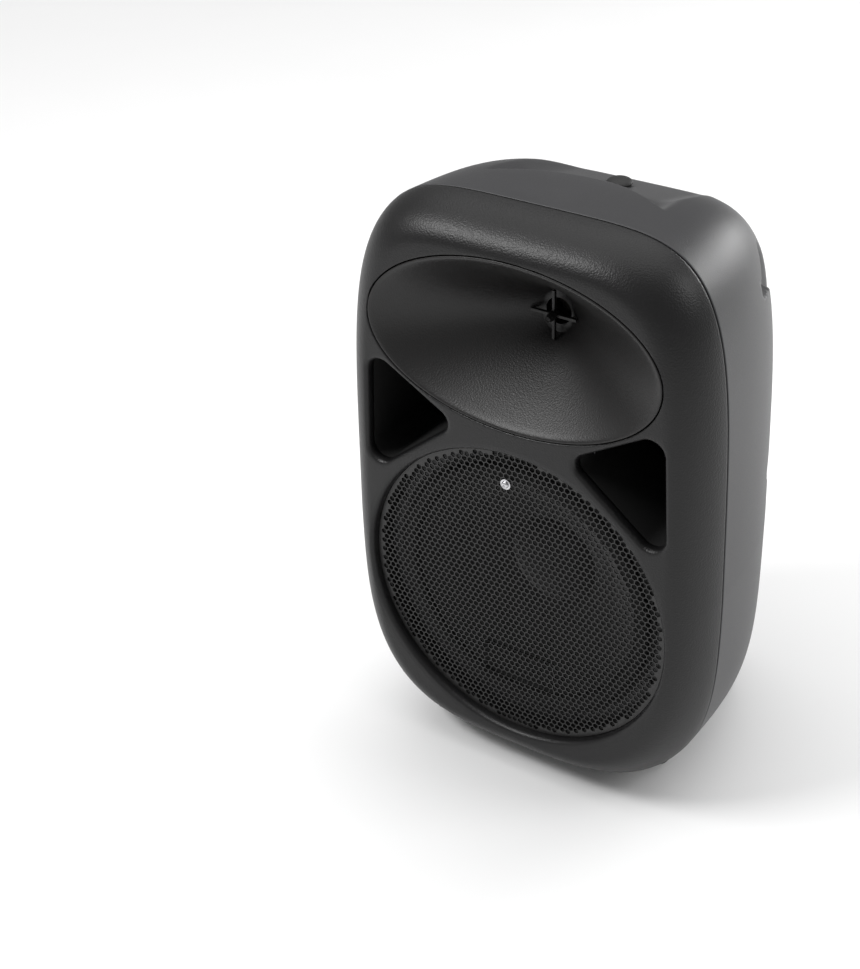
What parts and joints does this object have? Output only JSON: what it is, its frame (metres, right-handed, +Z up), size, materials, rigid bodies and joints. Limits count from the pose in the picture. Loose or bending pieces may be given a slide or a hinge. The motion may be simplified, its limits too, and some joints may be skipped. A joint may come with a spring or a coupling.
{
  "type": "pa speaker",
  "caption": "Moulded two-way loudspeaker box with a round-grilled woofer, elliptical horn, two ports, side grips, pole socket and rear control panel.",
  "frame": {"origin": "on the floor, under the centre of the box", "axes": "+Z up, -Y out of the front grille, +X to the right seen from the front"},
  "size_m": [0.38, 0.2978, 0.5875],
  "materials": {
    "baffle_plastic": "pebbled, semi-matte",
    "shell_plastic": "fine grain, matte",
    "horn_plastic": "fine grain",
    "rubber": "matte",
    "black_steel": "black zinc",
    "bright_steel": "plated",
    "ferrite": "sintered",
    "diaphragm": "thin foil",
    "grille_paint": "powder coat",
    "duct_plastic": "smooth",
    "cast_frame": "pressed steel, painted",
    "paper_cone": "treated paper",
    "copper": "enamelled copper",
    "spider_cloth": "resin cloth",
    "brass": "turned",
    "foam": "open cell",
    "panel_paint": "textured paint",
    "board": "solder mask",
    "board_parts": "sleeved",
    "heatsink": "extruded",
    "wire": "insulated",
    "socket_plastic": "moulded",
    "knob_plastic": "moulded",
    "rocker": "gloss",
    "lens": "clear"
  },
  "bodies": {
    "cabinet": {"front_baffle": "baffle_plastic", "rear_shell": "shell_plastic", "seam_gasket": "rubber", "case_screws": "black_steel", "horn": "horn_plastic", "phase_plug": "horn_plastic", "driver_plate": "bright_steel", "driver_bolts": "black_steel", "hf_magnet": "ferrite", "hf_cover": "horn_plastic", "grille": "grille_paint", "grille_ring": "rubber", "grille_screw": "bright_steel", "port_duct_left": "duct_plastic", "port_duct_right": "duct_plastic", "woofer_basket": "cast_frame", "woofer_screws": "black_steel", "woofer_surround": "rubber", "spider": "spider_cloth", "top_plate": "bright_steel", "magnet": "ferrite", "pole_piece": "bright_steel", "top_insert": "brass", "top_cap": "duct_plastic", "safety_insert": "brass", "pole_socket": "duct_plastic", "socket_screws": "black_steel", "feet": "rubber", "damping_pads": "foam", "rear_panel": "panel_paint", "panel_screws": "black_steel", "amp_board": "board", "board_parts": "board_parts", "heatsink": "heatsink", "transformer": "copper", "wiring": "wire", "mains_inlet": "socket_plastic", "switch_frame": "socket_plastic", "mic_socket": "bright_steel", "link_plug": "bright_steel", "level_pots": "board_parts", "mode_switch": "board_parts", "status_lens": "lens"},
    "cone": {"woofer_cone": "paper_cone", "dust_cap": "paper_cone", "voice_coil": "copper"},
    "hf_dome": {"hf_diaphragm": "diaphragm"},
    "level": {"level_knob": "knob_plastic"},
    "bass": {"bass_knob": "knob_plastic"},
    "treble": {"treble_knob": "knob_plastic"},
    "rocker": {"power_rocker": "rocker"},
    "latch": {"mic_latch": "socket_plastic"},
    "button": {"mode_button": "knob_plastic"},
    "fuse_tray": {"fuse_drawer": "knob_plastic"}
  },
  "joints": [
    {"name": "cone_travel", "type": "slide", "parent": "cabinet", "child": "cone", "axis": [0, -1, 0], "range_m": [-0.004, 0.004], "stiffness_N_per_m": 3000},
    {"name": "dome_travel", "type": "slide", "parent": "cabinet", "child": "hf_dome", "axis": [0, -1, 0], "range_m": [-0.0004, 0.0004], "stiffness_N_per_m": 2000},
    {"name": "level_turn", "type": "hinge", "parent": "cabinet", "child": "level", "pos_m": [-0.04, 0.13, 0.372], "axis": [0, 1, 0], "range_deg": [-150, 150]},
    {"name": "bass_turn", "type": "hinge", "parent": "cabinet", "child": "bass", "pos_m": [0, 0.13, 0.372], "axis": [0, 1, 0], "range_deg": [-150, 150]},
    {"name": "treble_turn", "type": "hinge", "parent": "cabinet", "child": "treble", "pos_m": [0.04, 0.13, 0.372], "axis": [0, 1, 0], "range_deg": [-150, 150]},
    {"name": "power_tilt", "type": "hinge", "parent": "cabinet", "child": "rocker", "pos_m": [0.03, 0.124, 0.155], "axis": [1, 0, 0], "range_deg": [0, 18]},
    {"name": "latch_press", "type": "slide", "parent": "cabinet", "child": "latch", "axis": [0, -1, 0], "range_m": [0, 0.0015], "stiffness_N_per_m": 400},
    {"name": "mode_press", "type": "slide", "parent": "cabinet", "child": "button", "axis": [0, -1, 0], "range_m": [0, 0.002], "stiffness_N_per_m": 300},
    {"name": "fuse_pull", "type": "slide", "parent": "cabinet", "child": "fuse_tray", "axis": [0, 1, 0], "range_m": [0, 0.018]}
  ]
}
